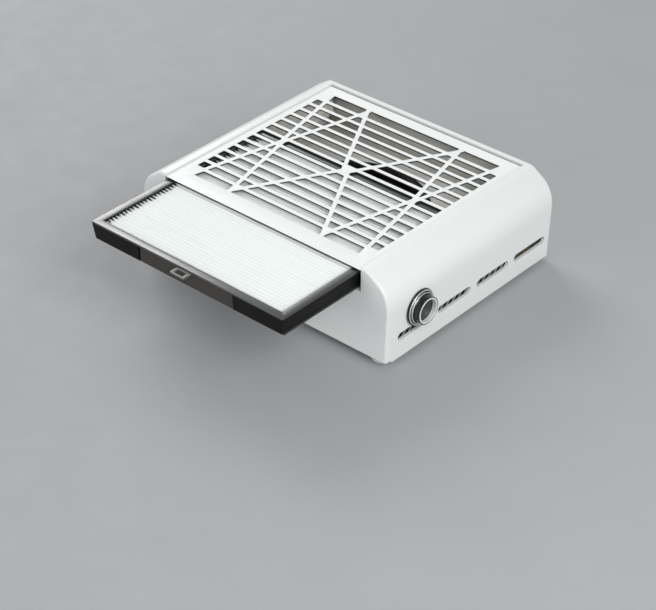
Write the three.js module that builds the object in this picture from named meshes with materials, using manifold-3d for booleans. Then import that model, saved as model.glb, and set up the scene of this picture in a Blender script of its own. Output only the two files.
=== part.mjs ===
// Tabletop nail dust collector: a white housing with a slotted grille on top,
// a pleated filter cartridge that slides out at the front, a vertical fan below
// it, air outlets along both sides, and a speed knob on the right.
//
// Millimetres, +Z up. X is the width, with the knob at +X. The filter slides
// out towards -Y. The origin is the centre of the base cover's underside.

import * as THREE from "three";
import { mergeVertices } from "three/addons/utils/BufferGeometryUtils.js";
import Module from "manifold-3d";

const wasm = await Module();
wasm.setup();

// ---------------------------------------------------------------- driving sizes

const GAP = 0.3; // clearance between pieces that touch
const ROUND = 24; // sides of a small round piece
const SMALL_ROUND = 12; // sides of a post or a screw hole
const LARGE_ROUND = 40; // sides of a fan-sized piece

// housing
const DEPTH = 201;
const FRONT = -DEPTH / 2;
const REAR = DEPTH / 2;
const WALL = 2.6;
const SHOULDER = {
  sideTop: 46.5, // the side wall is straight up to here
  slopeFoot: [116, 69.1],
  slopeHead: [107.5, 74.7],
  flatEnd: 102.4,
};
const PANEL_TOP = 74.5; // top face of the grille
const RIM_RISE = 1.6; // how far the housing stands above the grille
const HOUSING_TOP = PANEL_TOP + RIM_RISE;
const HALF_WIDTH = 126.7; // widest point of the side walls
const HALF_WIDTH_BASE = 125; // side walls at the bottom edge
const FRONT_EDGE_LIFT = 2; // the front wall stops this far above the base

// grille
const LEAST_SLOT = 5; // square millimetres; anything smaller between ribs is left solid
const PANEL_HALF = 100;
const PANEL_DEPTH = 194;
const PANEL_THICK = 1.6;
const REAR_GROOVE = 1.6;
const SLOT_HALF_LENGTH = 93;
const SLOT_HEIGHT = 7.9;
const ROW_PITCH = 11.15;
const ROWS = 13; // full-width rows between the first and the last one
const FIRST_ROW = 32.2; // centre of the first full-width row, from the front edge
const FRONT_SLOT = { at: 20.5, height: 9, halfLength: 86 };
const REAR_SLOT = { at: 178.5, height: 10.2, halfLength: 86.5 };
const RIB_WIDTH = 3.4;

// filter cartridge
const FILTER_HALF = 97.5;
const FILTER_LENGTH = 186;
const FILTER_HEIGHT = 16.5;
const FILTER_TOP = PANEL_TOP - 2.2;
const FILTER_BASE = FILTER_TOP - FILTER_HEIGHT;
const FILTER_OUT = 80.8; // how far it is drawn out at rest
const FRAME_BAR = 6.5;
const LIP_THICK = 1.6;
const LIP_OVERHANG = 1;
const SEAL_THICK = 1;
const PLEAT_PITCH = 3.5;
const PLEAT_DEPTH = 2.4;
const GRIP_HALF = 48; // recessed middle of the front bar
const TAB_HALF = 7;
const TAB_REACH = 7.6;

// fan chamber
const DECK_TOP = 42;
const DECK_THICK = 2.2;
const DECK_HALF = 101;
const DECK_REAR = 92.4;
const RAIL_X = 98.1; // inner face of the filter rails
const RAIL_THICK = 1.5;
const INLET_RADIUS = 58;
const INLET_FLANGE = 8; // how far the black ring reaches beyond the hole
const IMPELLER_RADIUS = 64;
const IMPELLER_BASE = 7;
const IMPELLER_TOP = 35.4;
const BLADES = 9;
const SHAFT_RADIUS = 1.6;
const MOTOR_SCREW_CIRCLE = 12;

// side outlets
const OUTLET_HALF_LENGTH = 19.8;
const OUTLET_HEIGHT = 6.8;
const OUTLET_Z = 19.1;
const OUTLET_PITCH = 47;
const OUTLET_CENTRES = [0, 1, 2, 3].map((i) => -68 + i * OUTLET_PITCH);
const FIN_PITCH = 7.4;
const FIN_X = [120.8, 122.2];
const FIN_HALF_THICK = 0.45;
const FIN_LEAN = 0.9; // along Y for each millimetre up
const SILL_X = [117.6, 122.2];
const SILL_TOP = 11.5; // the fins stand on a sill below the outlets

// base and feet
const BASE_THICK = 2.4;
const BASE_PAD = { half: [78, 52], rise: 0.4 }; // the flat middle of the underside stands proud
const FOOT_HEIGHT = 4.5;
const FOOT_RADIUS = 8;
const FOOT_AT = [113.5, 91];
const HOUSING_BOSS_AT = [112, 47];
const DECK_POST_AT = [88, 82];
const SCREW_HOLE = 1.6;
const PILOT = 1.5;
const SCREW_HEAD = 2.9;
const HEAD_TOP = 1.6; // screw heads sit in counterbores, just inside the base cover

// speed control, on the right wall; heights are measured along +X
const KNOB_AT = { y: -64.5, z: 36 };
const WALL_FACE = 127; // plane that the bezel rests on
const BEZEL_RADIUS = 15;
const BEZEL_THICK = 1.4;
const SKIRT_RADIUS = 12.5;
const KNOB_RADIUS = 11.2;
const KNOB_BASE = WALL_FACE + 2;
const KNOB_FRONT = WALL_FACE + 8.5;
const SKIRT_HEIGHT = 1.8; // the ring round the foot of the knob
const RECESS_RADIUS = 9.6; // inside the front ring
const RECESS_FLOOR = WALL_FACE + 4.4;
const RIM_THICK = 0.9;
const SLEEVE_THICK = 0.5;
const KNOB_ROUND = 32;
const BUSHING_RADIUS = 3.9;
const BUSHING_TIP = WALL_FACE + 1.7;
const SHAFT_TIP = WALL_FACE + 3.6;

// power inlet, on the rear wall
const INLET_AT = { x: 110, z: 22 };
const INLET_SLEEVE = 5.6; // outer radius behind the flange

// ---------------------------------------------------------------- materials

function plastic(color, roughness) {
  return { color, roughness, metalness: 0 };
}

function metal(color, roughness) {
  return { color, roughness, metalness: 1 };
}

const WHITE = plastic("#f2f4f2", 0.35);
const GREY = plastic("#b9b7b0", 0.55);
const BLACK = plastic("#161616", 0.45);
const CHROME = metal("#d9dcdc", 0.12);
const STEEL = metal("#9a9ea2", 0.35);
const BRASS = metal("#b08a45", 0.35);
const COPPER = metal("#a8623a", 0.4);
const PAPER = plastic("#f4f6f4", 0.9);
const FOAM = plastic("#3a3b3d", 0.95);
const FELT = plastic("#8a7c58", 0.95);
const SILICONE = plastic("#e8eceb", 0.6);
const BOARD = plastic("#1f5a38", 0.6);
const DARK_FACE = metal("#4a4d4d", 0.35);

// ---------------------------------------------------------------- solids

// A closed geometry becomes a manifold solid, with its faces pointing out.
function solid(geometry) {
  const bare = new THREE.BufferGeometry();
  const positions = geometry.index ? geometry.toNonIndexed() : geometry;
  bare.setAttribute("position", positions.getAttribute("position").clone());
  const merged = mergeVertices(bare, 1e-4);
  const corners = merged.getAttribute("position").array;
  const index = Array.from(merged.index.array);
  const faces = [];
  let volume = 0;
  for (let i = 0; i < index.length; i += 3) {
    const [a, b, c] = index.slice(i, i + 3);
    if (a === b || b === c || c === a) continue;
    faces.push(a, b, c);
    const [p, q, r] = [a, b, c].map((n) => new THREE.Vector3().fromArray(corners, n * 3));
    volume += p.dot(q.cross(r));
  }
  if (volume < 0) faces.reverse();
  return new wasm.Manifold(
    new wasm.Mesh({
      numProp: 3,
      vertProperties: new Float32Array(corners),
      triVerts: new Uint32Array(faces),
    }),
  );
}

function geometryOf(body) {
  const mesh = body.getMesh();
  const geometry = new THREE.BufferGeometry();
  geometry.setAttribute("position", new THREE.BufferAttribute(mesh.vertProperties, 3));
  geometry.setIndex(new THREE.BufferAttribute(mesh.triVerts, 1));
  geometry.computeVertexNormals();
  return geometry;
}

function join(...bodies) {
  return bodies.reduce((whole, body) => whole.add(body));
}

function cut(body, ...tools) {
  return tools.reduce((whole, tool) => whole.subtract(tool), body);
}

function box([x0, x1], [y0, y1], [z0, z1]) {
  const geometry = new THREE.BoxGeometry(x1 - x0, y1 - y0, z1 - z0);
  geometry.translate((x0 + x1) / 2, (y0 + y1) / 2, (z0 + z1) / 2);
  return solid(geometry);
}

// A shape drawn in X and Y, standing between two heights.
function upright(shape, z0, z1, curveSegments = 6) {
  const options = { depth: z1 - z0, bevelEnabled: false, curveSegments };
  const geometry = new THREE.ExtrudeGeometry(shape, options);
  geometry.translate(0, 0, z0);
  return solid(geometry);
}

// A shape drawn in X and Z, running from y0 to y1.
function alongY(shape, y0, y1, curveSegments = 6) {
  const options = { depth: y1 - y0, bevelEnabled: false, curveSegments };
  const geometry = new THREE.ExtrudeGeometry(shape, options);
  geometry.rotateX(Math.PI / 2);
  geometry.translate(0, y1, 0);
  return solid(geometry);
}

// A profile of [radius, height] points turned round the Z axis.
function turned(profile, segments = ROUND) {
  const points = profile.map(([radius, height]) => new THREE.Vector2(radius, height));
  const geometry = new THREE.LatheGeometry(points, segments);
  geometry.rotateX(Math.PI / 2);
  return solid(geometry);
}

function rod(radius, z0, z1, segments = ROUND) {
  return turned([[0, z0], [radius, z0], [radius, z1], [0, z1]], segments);
}

function ring(outer, inner, z0, z1, segments = ROUND) {
  return turned([[inner, z0], [outer, z0], [outer, z1], [inner, z1], [inner, z0]], segments);
}

function at(body, x, y, z) {
  return body.translate([x, y, z]);
}

// A body turned about Z lies down so that its axis points to +X.
function facingRight(body) {
  return body.rotate([0, 90, 0]);
}

// The same for an axis that points to the rear, +Y.
function facingRear(body) {
  return body.rotate([-90, 0, 0]);
}

function onKnobAxis(body) {
  return facingRight(body).translate([0, KNOB_AT.y, KNOB_AT.z]);
}

function onInletAxis(body) {
  return facingRear(body).translate([INLET_AT.x, 0, INLET_AT.z]);
}

function outline(points) {
  return new THREE.Shape(points.map(([x, y]) => new THREE.Vector2(x, y)));
}

function roundedRectangle(halfX, y0, y1, radius) {
  const shape = new THREE.Shape();
  shape.moveTo(-halfX + radius, y0);
  shape.lineTo(halfX - radius, y0);
  shape.absarc(halfX - radius, y0 + radius, radius, -Math.PI / 2, 0);
  shape.lineTo(halfX, y1 - radius);
  shape.absarc(halfX - radius, y1 - radius, radius, 0, Math.PI / 2);
  shape.lineTo(-halfX + radius, y1);
  shape.absarc(-halfX + radius, y1 - radius, radius, Math.PI / 2, Math.PI);
  shape.lineTo(-halfX, y0 + radius);
  shape.absarc(-halfX + radius, y0 + radius, radius, Math.PI, Math.PI * 1.5);
  return shape;
}

const part = new THREE.Group();
part.name = "nail_dust_collector";

function addTo(group, name, body, look) {
  const mesh = new THREE.Mesh(geometryOf(body), new THREE.MeshStandardMaterial(look));
  mesh.name = name;
  group.add(mesh);
}

function subassembly() {
  const group = new THREE.Group();
  part.add(group);
  return group;
}

// The four ways to place something by its distances from the middle.
const CORNERS = [[-1, -1], [1, -1], [-1, 1], [1, 1]];

// ---------------------------------------------------------------- housing

// Outer cross-section in X and Z. `inset` moves every face inwards.
function housingSection(inset) {
  const top = HOUSING_TOP - inset;
  const side = HALF_WIDTH - inset;
  const slope = new THREE.Vector2(0.55, 0.83).multiplyScalar(-inset);
  const foot = new THREE.Vector2(...SHOULDER.slopeFoot).add(slope);
  const head = new THREE.Vector2(...SHOULDER.slopeHead).add(slope);
  const bottom = inset > 0 ? -1 : 0;
  const shape = new THREE.Shape();
  shape.moveTo(HALF_WIDTH_BASE - inset, bottom);
  shape.lineTo(side, SHOULDER.sideTop);
  shape.bezierCurveTo(side, SHOULDER.sideTop + 11 - inset, foot.x + 6.5, foot.y - 4.3, foot.x, foot.y);
  shape.lineTo(head.x, head.y);
  shape.quadraticCurveTo(head.x - 2.3, top, SHOULDER.flatEnd - inset * 0.2, top);
  const right = shape.getPoints(5);
  const left = right.map((point) => new THREE.Vector2(-point.x, point.y)).reverse();
  return new THREE.Shape([...right, ...left]);
}

function outletSlot(centre, reach) {
  const radius = OUTLET_HEIGHT / 2;
  const straight = OUTLET_HALF_LENGTH - radius;
  const shape = new THREE.Shape();
  shape.moveTo(-straight, -radius);
  shape.lineTo(straight, -radius);
  shape.absarc(straight, 0, radius, -Math.PI / 2, Math.PI / 2);
  shape.lineTo(-straight, radius);
  shape.absarc(-straight, 0, radius, Math.PI / 2, Math.PI * 1.5);
  const body = upright(shape, -reach, reach, 4);
  return body.rotate([90, 0, 90]).translate([0, centre, OUTLET_Z]);
}

function mainHousing() {
  const outer = alongY(housingSection(0), FRONT, REAR);
  const inner = alongY(housingSection(WALL), FRONT + WALL, REAR - WALL);
  const bossTop = 34;
  const grilleOpening = box(
    [-PANEL_HALF - GAP, PANEL_HALF + GAP],
    [FRONT - 1, FRONT + PANEL_DEPTH + REAR_GROOVE],
    [FILTER_BASE - 0.4, HOUSING_TOP + 1],
  );
  const beyond = HALF_WIDTH + 5;
  const frontRelief = box([-beyond, beyond], [FRONT - 1, FRONT + WALL + 4], [-1, FRONT_EDGE_LIFT]);
  const outlets = OUTLET_CENTRES.map((centre) => outletSlot(centre, beyond));
  const knobHole = onKnobAxis(rod(BUSHING_RADIUS + 0.4, HALF_WIDTH - 10, beyond));
  const inletHole = onInletAxis(rod(INLET_SLEEVE + GAP, REAR - 10, REAR + 10));
  let shell = cut(outer, inner, grilleOpening, frontRelief, knobHole, inletHole, ...outlets);
  for (const [sx, sy] of CORNERS) {
    const [x, y] = [sx * HOUSING_BOSS_AT[0], sy * HOUSING_BOSS_AT[1]];
    const boss = at(rod(4.2, BASE_THICK + GAP, bossTop, SMALL_ROUND), x, y, 0);
    const reach = [x, sx * (HALF_WIDTH - 1.2)].sort((a, b) => a - b);
    const web = box(reach, [y - 0.9, y + 0.9], [bossTop - 6, bossTop]);
    const pilot = at(rod(PILOT, 0, bossTop - 8, SMALL_ROUND), x, y, 0);
    shell = cut(join(shell, boss, web), pilot);
  }
  return shell;
}

// ---------------------------------------------------------------- grille

// A straight rib between two points, taller than the plate it stays in.
function rib([x0, y0], [x1, y1]) {
  const length = Math.hypot(x1 - x0, y1 - y0);
  const angle = Math.atan2(y1 - y0, x1 - x0);
  const bar = box([0, length], [-RIB_WIDTH / 2, RIB_WIDTH / 2], [PANEL_TOP - 4, PANEL_TOP + 2]);
  return bar.rotate([0, 0, (angle * 180) / Math.PI]).translate([x0, FRONT + y0, 0]);
}

// Ribs come in Vs: two feet on one edge of the slot field and a shared point.
const RIB_VS = [
  { feet: [[-49.4, 183.6], [49.4, 183.6]], point: [0, 93.6] },
  { feet: [[-48.4, 16], [48.4, 16]], point: [0, 102.6] },
  { feet: [[-87.8, 183.6], [-47.2, 183.6]], point: [-68, 96.3] },
  { feet: [[87.8, 183.6], [47.2, 183.6]], point: [68, 96.3] },
  { feet: [[-86.3, 16], [-46.8, 16]], point: [-68, 103] },
  { feet: [[86.3, 16], [46.8, 16]], point: [68, 103] },
];

function slotRow({ at: centre, height, halfLength }) {
  return box(
    [-halfLength, halfLength],
    [FRONT + centre - height / 2, FRONT + centre + height / 2],
    [PANEL_TOP - PANEL_THICK - 1, PANEL_TOP + 1],
  );
}

function topGrille() {
  const plate = box(
    [-PANEL_HALF, PANEL_HALF],
    [FRONT, FRONT + PANEL_DEPTH],
    [PANEL_TOP - PANEL_THICK, PANEL_TOP],
  );
  const rows = [slotRow(FRONT_SLOT), slotRow(REAR_SLOT)];
  for (let i = 0; i < ROWS; i++) {
    const centre = FIRST_ROW + i * ROW_PITCH;
    rows.push(slotRow({ at: centre, height: SLOT_HEIGHT, halfLength: SLOT_HALF_LENGTH }));
  }
  const ribs = RIB_VS.flatMap(({ feet, point }) => feet.map((foot) => rib(foot, point)));
  const slots = cut(join(...rows), ...ribs).decompose();
  const tall = PANEL_THICK + 2;
  return cut(plate, ...slots.filter((slot) => slot.volume() > LEAST_SLOT * tall));
}

// ---------------------------------------------------------------- base and feet

function baseCover() {
  const margin = WALL + GAP;
  const sheet = box(
    [-HALF_WIDTH_BASE + margin, HALF_WIDTH_BASE - margin],
    [FRONT + margin, REAR - margin],
    [BASE_PAD.rise, BASE_THICK],
  );
  const [padX, padY] = BASE_PAD.half;
  const footSeats = CORNERS.map(([sx, sy]) =>
    at(rod(6, 0, BASE_PAD.rise + 0.1, SMALL_ROUND), sx * FOOT_AT[0], sy * FOOT_AT[1], 0),
  );
  const pad = box([-padX, padX], [-padY, padY], [0, BASE_PAD.rise + 0.1]);
  let plate = join(sheet, pad, ...footSeats);
  const screwHole = join(
    rod(SCREW_HOLE, -1, BASE_THICK + 1, SMALL_ROUND),
    rod(SCREW_HEAD + 0.4, -1, HEAD_TOP + 0.1, SMALL_ROUND),
  );
  const screwHoles = CORNERS.flatMap(([sx, sy]) =>
    [HOUSING_BOSS_AT, DECK_POST_AT].map(([x, y]) => at(screwHole, sx * x, sy * y, 0)),
  );
  plate = cut(plate, ...screwHoles, ...aroundMotor(screwHole));
  // two long stiffening ribs inside, clear of the fan
  for (const side of [-1, 1]) {
    const x = side * 96;
    plate = join(plate, box([x - 0.9, x + 0.9], [-88, 88], [BASE_THICK - 0.5, 8]));
  }
  return plate;
}

function foot() {
  const steps = 4;
  const flat = 3.2;
  const profile = [[0, -FOOT_HEIGHT], [flat, -FOOT_HEIGHT]];
  for (let i = 1; i <= steps; i++) {
    const angle = (i / steps) * (Math.PI / 2);
    const radius = flat + (FOOT_RADIUS - flat) * Math.sin(angle);
    profile.push([radius, -GAP - (FOOT_HEIGHT - GAP) * Math.cos(angle)]);
  }
  profile.push([0, -GAP]);
  return turned(profile, 20);
}

// Self-tapping screw: pan head in its counterbore, pointed shank up to `tip`.
function screw(tip) {
  const shank = 1.2;
  return turned([
    [0, 0.6],
    [SCREW_HEAD * 0.75, 0.6],
    [SCREW_HEAD, 1],
    [SCREW_HEAD, HEAD_TOP],
    [shank, HEAD_TOP],
    [shank, tip - 1.5],
    [0, tip],
  ], SMALL_ROUND);
}

// Three copies of a body, on the circle of the motor's screws.
function aroundMotor(body) {
  return [0, 120, 240].map((turn) => at(body, MOTOR_SCREW_CIRCLE, 0, 0).rotate([0, 0, turn]));
}

// ---------------------------------------------------------------- fan chamber

function fanDeck() {
  const z = [DECK_TOP - DECK_THICK, DECK_TOP];
  const deck = box([-DECK_HALF, DECK_HALF], [FRONT + WALL + GAP, DECK_REAR], z);
  return cut(deck, rod(INLET_RADIUS + 4, DECK_TOP - 5, DECK_TOP + 1, LARGE_ROUND));
}

// Upright wall behind the drawn-in filter.
function filterBackWall() {
  return box(
    [-FILTER_HALF, FILTER_HALF],
    [DECK_REAR - 1.8, DECK_REAR],
    [DECK_TOP + GAP, PANEL_TOP - PANEL_THICK - GAP],
  );
}

function deckPost() {
  const post = rod(4, BASE_THICK + GAP, DECK_TOP - DECK_THICK - GAP, SMALL_ROUND);
  return cut(post, rod(PILOT, 0, 20, SMALL_ROUND));
}

// Bell-mouthed ring that lines the deck's hole.
function inletRing() {
  const mouth = IMPELLER_TOP + 2;
  return turned(
    [
      [INLET_RADIUS, mouth],
      [INLET_RADIUS + 2.2, mouth],
      [INLET_RADIUS + 2.2, DECK_TOP + GAP],
      [INLET_RADIUS + INLET_FLANGE, DECK_TOP + GAP],
      [INLET_RADIUS + INLET_FLANGE, DECK_TOP + 1.6],
      [INLET_RADIUS + 4, DECK_TOP + 2.4],
      [INLET_RADIUS + 1.2, DECK_TOP + 0.6],
      [INLET_RADIUS, mouth],
    ],
    LARGE_ROUND,
  );
}

// L-section rail: its wall carries the grille, its ledge carries the filter.
function filterRail(side) {
  const [bottom, top] = [DECK_TOP + GAP, PANEL_TOP - PANEL_THICK - GAP];
  const ledge = [FILTER_BASE - 0.4, FILTER_BASE - 2.2];
  const ledgeEdge = RAIL_X - 7.1;
  const section = outline([
    [RAIL_X, bottom],
    [RAIL_X + RAIL_THICK, bottom],
    [RAIL_X + RAIL_THICK, top],
    [RAIL_X, top],
    [RAIL_X, ledge[0]],
    [ledgeEdge, ledge[0]],
    [ledgeEdge, ledge[1]],
    [RAIL_X, ledge[1]],
  ]);
  const rail = alongY(section, FRONT + WALL + GAP, DECK_REAR - 2.4);
  const stop = box(
    [ledgeEdge + 1, RAIL_X + 0.5],
    [DECK_REAR - 6.3, DECK_REAR - 4.3],
    [FILTER_BASE - 1, FILTER_TOP - 2],
  );
  const whole = join(rail, stop);
  return side > 0 ? whole : whole.mirror([1, 0, 0]);
}

// One leaning fin, drawn in Y and Z and given its depth along X.
function leaningFin(y) {
  const [z0, z1] = [SILL_TOP - 1, 26];
  const [low, high] = [z0, z1].map((z) => y + (z - OUTLET_Z) * FIN_LEAN);
  const half = FIN_HALF_THICK * Math.hypot(1, FIN_LEAN);
  const section = outline([[low - half, z0], [low + half, z0], [high + half, z1], [high - half, z1]]);
  return upright(section, ...FIN_X).rotate([90, 0, 90]);
}

// Sill with leaning fins, behind the first three outlets of one side.
function louverStrip(side) {
  const y0 = OUTLET_CENTRES[0] - OUTLET_HALF_LENGTH;
  const y1 = OUTLET_CENTRES[2] + OUTLET_HALF_LENGTH;
  let strip = box(SILL_X, [y0, y1], [BASE_THICK + GAP, SILL_TOP]);
  for (let y = y0 + FIN_PITCH; y < y1; y += FIN_PITCH) {
    strip = join(strip, leaningFin(y));
  }
  return side > 0 ? strip : strip.mirror([1, 0, 0]);
}

// Soft pad on the base cover, behind the last outlet of the right side.
function dampingPad() {
  return box([99, 117], [66, 97], [BASE_THICK + GAP, 5.6]);
}

// ---------------------------------------------------------------- fan and motor

// One backward-curved blade: a thin arc seen from above.
function blade(turn) {
  const thickness = 1.6;
  const [inner, outer, lean] = [27, IMPELLER_RADIUS - 2, 0.7];
  const steps = 5;
  const near = [];
  const far = [];
  for (let i = 0; i <= steps; i++) {
    const t = i / steps;
    const radius = inner + (outer - inner) * t;
    const angle = turn - lean * t * t;
    const half = thickness / 2 / radius;
    near.push([radius * Math.cos(angle - half), radius * Math.sin(angle - half)]);
    far.push([radius * Math.cos(angle + half), radius * Math.sin(angle + half)]);
  }
  return upright(outline([...near, ...far.reverse()]), IMPELLER_BASE + 1, IMPELLER_TOP - 1);
}

function impeller() {
  const hub = turned([
    [19.5, IMPELLER_BASE],
    [24, IMPELLER_BASE],
    [28, IMPELLER_BASE + 1.6],
    [24.5, IMPELLER_BASE + 4],
    [24, 22],
    [21, 24],
    [1.9, 24],
    [1.9, 21.8],
    [19.5, 21.8],
    [19.5, IMPELLER_BASE],
  ]);
  const backPlate = ring(IMPELLER_RADIUS, 22, IMPELLER_BASE, IMPELLER_BASE + 1.6, LARGE_ROUND);
  const frontRing = ring(IMPELLER_RADIUS, 51, IMPELLER_TOP - 1.4, IMPELLER_TOP, LARGE_ROUND);
  const blades = [];
  for (let i = 0; i < BLADES; i++) {
    blades.push(blade((i / BLADES) * Math.PI * 2));
  }
  return join(hub, backPlate, frontRing, ...blades);
}

function rotorCan() {
  return turned([
    [17.6, 5.6],
    [19, 5.6],
    [19, 20.6],
    [18, 21.5],
    [1.9, 21.5],
    [1.9, 20],
    [17.6, 20],
    [17.6, 5.6],
  ]);
}

// Laminated core with slotted winding poles.
function stator() {
  const poles = 9;
  let core = ring(9, 6, 6, 17);
  for (let i = 0; i < poles; i++) {
    const turn = (i / poles) * 360;
    const pole = box([8, 13.5], [-1.8, 1.8], [6, 17]);
    const shoe = box([13, 16.4], [-4, 4], [6.5, 16.5]);
    core = join(core, pole.rotate([0, 0, turn]), shoe.rotate([0, 0, turn]));
  }
  return core;
}

function hexNut(acrossFlats, hole, z0, z1) {
  const radius = acrossFlats / Math.sqrt(3);
  return cut(rod(radius, z0, z1, 6), rod(hole, z0 - 1, z1 + 1, SMALL_ROUND));
}

// ---------------------------------------------------------------- filter cartridge

const FILTER_FRONT = FRONT - FILTER_OUT;
const FILTER_REAR = FILTER_FRONT + FILTER_LENGTH;

function filterFrame() {
  const lip = upright(
    roundedRectangle(FILTER_HALF, FILTER_FRONT, FILTER_REAR, 1.5),
    FILTER_TOP - LIP_THICK,
    FILTER_TOP,
    3,
  );
  const wallFront = FILTER_FRONT + LIP_OVERHANG;
  const walls = upright(
    roundedRectangle(FILTER_HALF - LIP_OVERHANG, wallFront, FILTER_REAR - LIP_OVERHANG, 3),
    FILTER_BASE + SEAL_THICK + GAP,
    FILTER_TOP - LIP_THICK / 2,
    3,
  );
  const inside = box(
    [-FILTER_HALF + FRAME_BAR, FILTER_HALF - FRAME_BAR],
    [FILTER_FRONT + FRAME_BAR, FILTER_REAR - FRAME_BAR],
    [FILTER_BASE - 1, FILTER_TOP + 1],
  );
  const grip = box(
    [-GRIP_HALF, GRIP_HALF],
    [FILTER_FRONT - 1, wallFront + 1.2],
    [FILTER_BASE - 1, FILTER_TOP - LIP_THICK],
  );
  const tabSeat = box(
    [-TAB_HALF - GAP, TAB_HALF + GAP],
    [FILTER_FRONT - 1, FILTER_FRONT + 2.5],
    [FILTER_TOP - LIP_THICK - 2.2, FILTER_TOP - LIP_THICK],
  );
  let frame = cut(join(lip, walls), inside, grip, tabSeat);
  // two bars under the pleats
  for (const share of [1 / 3, 2 / 3]) {
    const y = FILTER_FRONT + FILTER_LENGTH * share;
    const bar = box(
      [-FILTER_HALF + FRAME_BAR - 1, FILTER_HALF - FRAME_BAR + 1],
      [y - 1, y + 1],
      [FILTER_BASE + SEAL_THICK + GAP, FILTER_BASE + 3.4],
    );
    frame = join(frame, bar);
  }
  return frame;
}

// A saw-toothed slab: folds run along X, one after another along Y.
function filterMedia() {
  const margin = FRAME_BAR + GAP;
  const y0 = FILTER_FRONT + margin;
  const y1 = FILTER_REAR - margin;
  const count = Math.round((y1 - y0) / PLEAT_PITCH);
  const pitch = (y1 - y0) / count;
  const crest = FILTER_TOP - 1.9;
  const bottom = FILTER_BASE + 3.8;
  const section = [[y0, bottom]];
  for (let i = 0; i < count; i++) {
    section.push([y0 + i * pitch, crest - PLEAT_DEPTH]);
    section.push([y0 + (i + 0.5) * pitch, crest]);
  }
  section.push([y1, crest - PLEAT_DEPTH], [y1, bottom]);
  const half = FILTER_HALF - margin;
  return upright(outline(section), -half, half).rotate([90, 0, 90]);
}

function filterSeal() {
  const [z0, z1] = [FILTER_BASE, FILTER_BASE + SEAL_THICK];
  const edge = LIP_OVERHANG + 0.6;
  const outer = box(
    [-FILTER_HALF + edge, FILTER_HALF - edge],
    [FILTER_FRONT + edge + 1.4, FILTER_REAR - edge],
    [z0, z1],
  );
  const width = 3.6;
  const inner = box(
    [-FILTER_HALF + edge + width, FILTER_HALF - edge - width],
    [FILTER_FRONT + edge + 1.4 + width, FILTER_REAR - edge - width],
    [z0 - 1, z1 + 1],
  );
  return cut(outer, inner);
}

// Flat loop under the front lip, for a fingernail.
function pullTab() {
  const z1 = FILTER_TOP - LIP_THICK - GAP;
  const z0 = z1 - 1.6;
  const back = FILTER_FRONT + 2.5 - GAP;
  const plate = upright(roundedRectangle(TAB_HALF, FILTER_FRONT - TAB_REACH, back, 1), z0, z1, 3);
  const hole = upright(
    roundedRectangle(TAB_HALF - 2.7, FILTER_FRONT - TAB_REACH + 1.7, FILTER_FRONT - 0.6, 0.8),
    z0 - 1,
    z1 + 1,
    3,
  );
  return cut(plate, hole);
}

// ---------------------------------------------------------------- controls

function potentiometer() {
  const can = rod(8, 110, 119);
  const shoulder = rod(6, 118.5, 120.6);
  const bushing = rod(BUSHING_RADIUS, 120, BUSHING_TIP);
  return cut(join(can, shoulder, bushing), rod(3.1, 111, BUSHING_TIP + 1));
}

function knobBezel() {
  return turned([
    [6.6, WALL_FACE],
    [BEZEL_RADIUS, WALL_FACE],
    [BEZEL_RADIUS, WALL_FACE + BEZEL_THICK - 0.5],
    [BEZEL_RADIUS - 0.6, WALL_FACE + BEZEL_THICK],
    [6.6, WALL_FACE + BEZEL_THICK],
    [6.6, WALL_FACE],
  ], KNOB_ROUND);
}

function bezelTrim() {
  const base = WALL_FACE + BEZEL_THICK + GAP;
  const [inner, outer] = [SKIRT_RADIUS + 0.7, BEZEL_RADIUS - 0.7];
  return turned([
    [inner, base],
    [outer, base],
    [outer - 0.2, base + 0.6],
    [inner + 0.2, base + 0.6],
    [inner, base],
  ], KNOB_ROUND);
}

// Wider at its foot, which carries the skirt ring, and bored for the front ring's
// sleeve and right through for the shaft.
function knobBarrel() {
  const foot = SKIRT_RADIUS - 0.9;
  const bore = RECESS_RADIUS + SLEEVE_THICK + GAP;
  const top = KNOB_FRONT - RIM_THICK - GAP;
  const web = RECESS_FLOOR - 0.8;
  return turned([
    [3.3, KNOB_BASE],
    [foot, KNOB_BASE],
    [foot, KNOB_BASE + SKIRT_HEIGHT - GAP],
    [KNOB_RADIUS, KNOB_BASE + SKIRT_HEIGHT],
    [KNOB_RADIUS, top],
    [bore, top],
    [bore, web],
    [3.3, web],
    [3.3, KNOB_BASE],
  ], KNOB_ROUND);
}

function skirtRing() {
  const inner = SKIRT_RADIUS - 0.6;
  const [low, high] = [KNOB_BASE + 0.1, KNOB_BASE + SKIRT_HEIGHT - GAP];
  return turned([
    [inner, low],
    [SKIRT_RADIUS + 0.2, low],
    [SKIRT_RADIUS + 0.2, high - 0.2],
    [SKIRT_RADIUS, high],
    [inner, high],
    [inner, low],
  ], KNOB_ROUND);
}

// Front ring with a sleeve that lines the recess.
function knobRim() {
  const base = RECESS_FLOOR + GAP;
  const sleeve = RECESS_RADIUS + SLEEVE_THICK;
  const shoulder = KNOB_FRONT - RIM_THICK;
  return turned([
    [RECESS_RADIUS, base],
    [sleeve, base],
    [sleeve, shoulder],
    [KNOB_RADIUS, shoulder],
    [KNOB_RADIUS, KNOB_FRONT - 0.3],
    [KNOB_RADIUS - 0.3, KNOB_FRONT],
    [RECESS_RADIUS + 0.3, KNOB_FRONT],
    [RECESS_RADIUS, KNOB_FRONT - 0.3],
    [RECESS_RADIUS, base],
  ], KNOB_ROUND);
}

// ---------------------------------------------------------------- leads

function lead(points, radius) {
  const path = new THREE.CatmullRomCurve3(points.map((point) => new THREE.Vector3(...point)));
  const section = new THREE.Shape();
  section.absarc(0, 0, radius, 0, Math.PI * 2);
  const options = { steps: 16, curveSegments: 4, extrudePath: path, bevelEnabled: false };
  return solid(new THREE.ExtrudeGeometry(section, options));
}

// ---------------------------------------------------------------- assembly

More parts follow.
